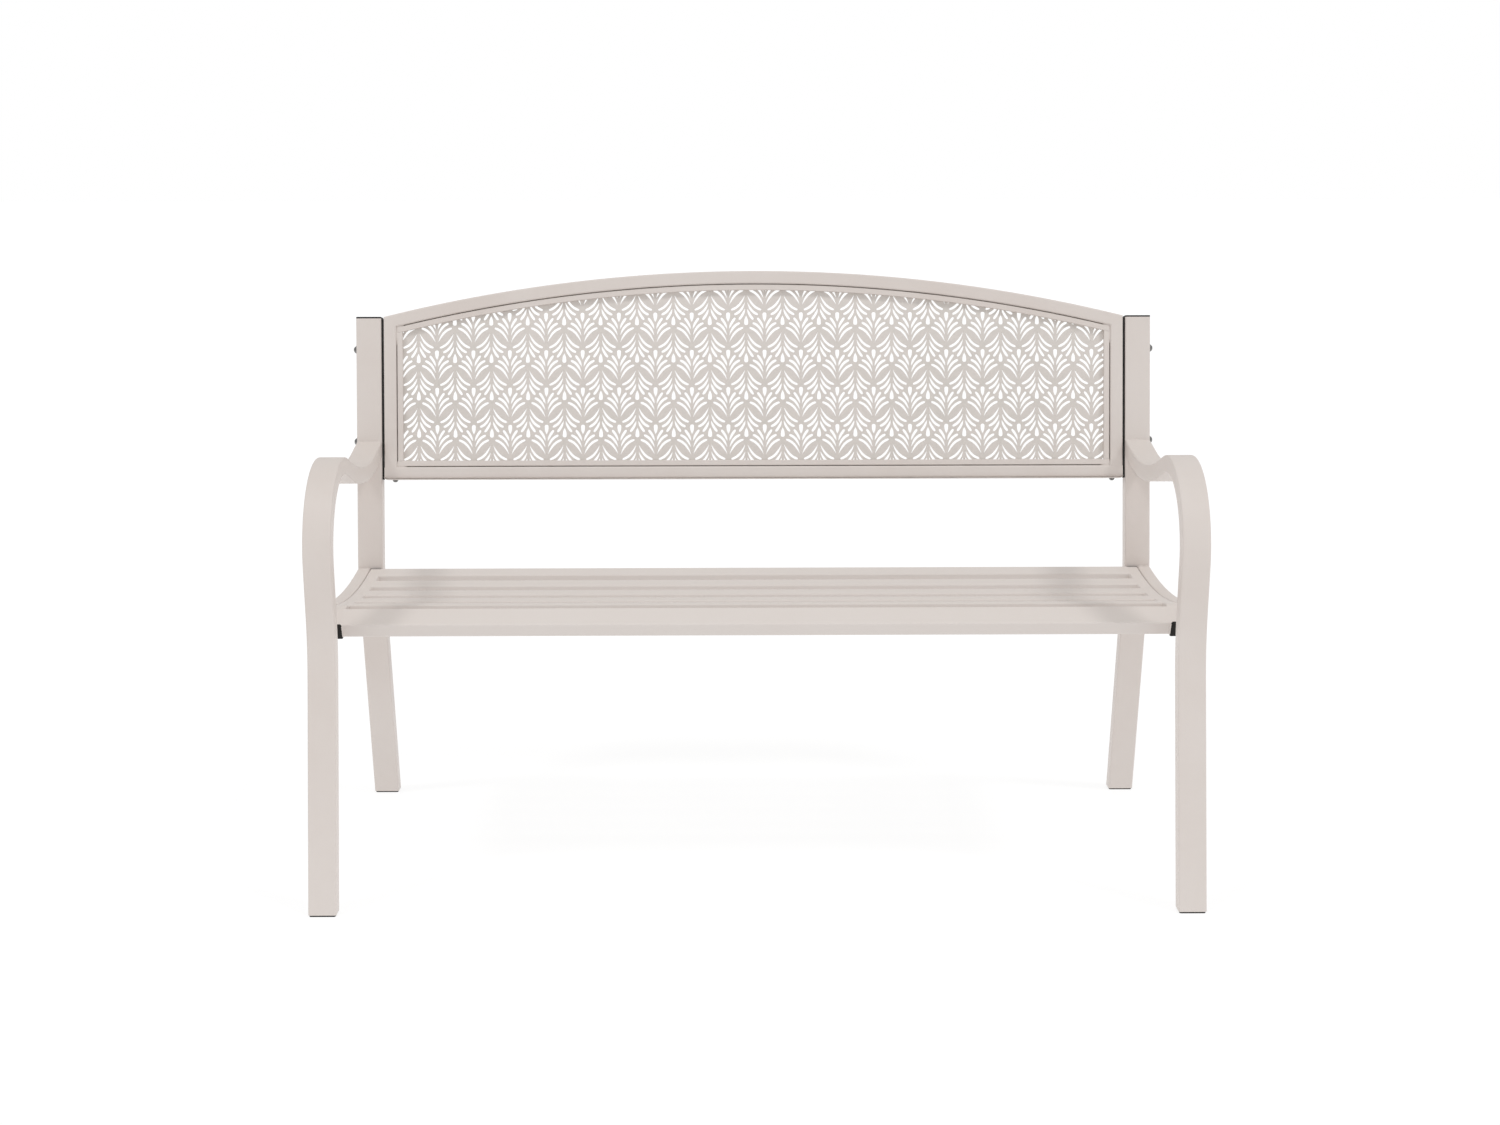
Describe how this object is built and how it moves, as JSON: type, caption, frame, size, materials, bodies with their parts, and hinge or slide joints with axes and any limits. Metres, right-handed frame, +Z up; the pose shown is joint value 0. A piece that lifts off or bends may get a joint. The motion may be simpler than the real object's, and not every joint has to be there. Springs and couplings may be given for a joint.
{
  "type": "garden bench",
  "caption": "Two-seat steel garden bench with looped tube arms, a dished slatted seat and an arched back with a cut palmette panel.",
  "frame": {"origin": "on the ground, midway between the feet", "axes": "+X along the bench, +Y from the front to the back, +Z up"},
  "size_m": [1.2818, 0.6139, 0.8668],
  "materials": {
    "frame_paint": "satin",
    "seat_paint": "satin",
    "panel_paint": "satin",
    "black_plastic": "matte",
    "zinc": "bright",
    "steel_insert": "plain"
  },
  "bodies": {
    "root": {"left_arm_leg": "frame_paint", "right_arm_leg": "frame_paint", "left_rear_post": "frame_paint", "right_rear_post": "frame_paint", "left_seat_rail": "frame_paint", "right_seat_rail": "frame_paint", "left_post_cap": "black_plastic", "right_post_cap": "black_plastic", "left_front_foot": "black_plastic", "right_front_foot": "black_plastic", "left_rear_foot": "black_plastic", "right_rear_foot": "black_plastic", "left_spacer_strip": "black_plastic", "right_spacer_strip": "black_plastic", "left_seat_side_tube": "frame_paint", "right_seat_side_tube": "frame_paint", "left_seat_front_plug": "black_plastic", "right_seat_front_plug": "black_plastic", "left_seat_rear_plug": "black_plastic", "right_seat_rear_plug": "black_plastic", "slat_1": "seat_paint", "slat_2": "seat_paint", "slat_3": "seat_paint", "slat_4": "seat_paint", "slat_5": "seat_paint", "slat_6": "seat_paint", "back_top_tube": "frame_paint", "back_bottom_tube": "frame_paint", "left_back_side_tube": "frame_paint", "right_back_side_tube": "frame_paint", "trim_top": "frame_paint", "trim_bottom": "frame_paint", "left_trim": "frame_paint", "right_trim": "frame_paint", "back_panel": "panel_paint", "back_bolts": "zinc", "back_washers": "zinc", "back_inserts": "steel_insert", "seat_bolts": "zinc", "seat_washers": "zinc", "seat_inserts": "steel_insert", "rail_screws": "zinc", "rail_inserts": "steel_insert"}
  },
  "joints": []
}
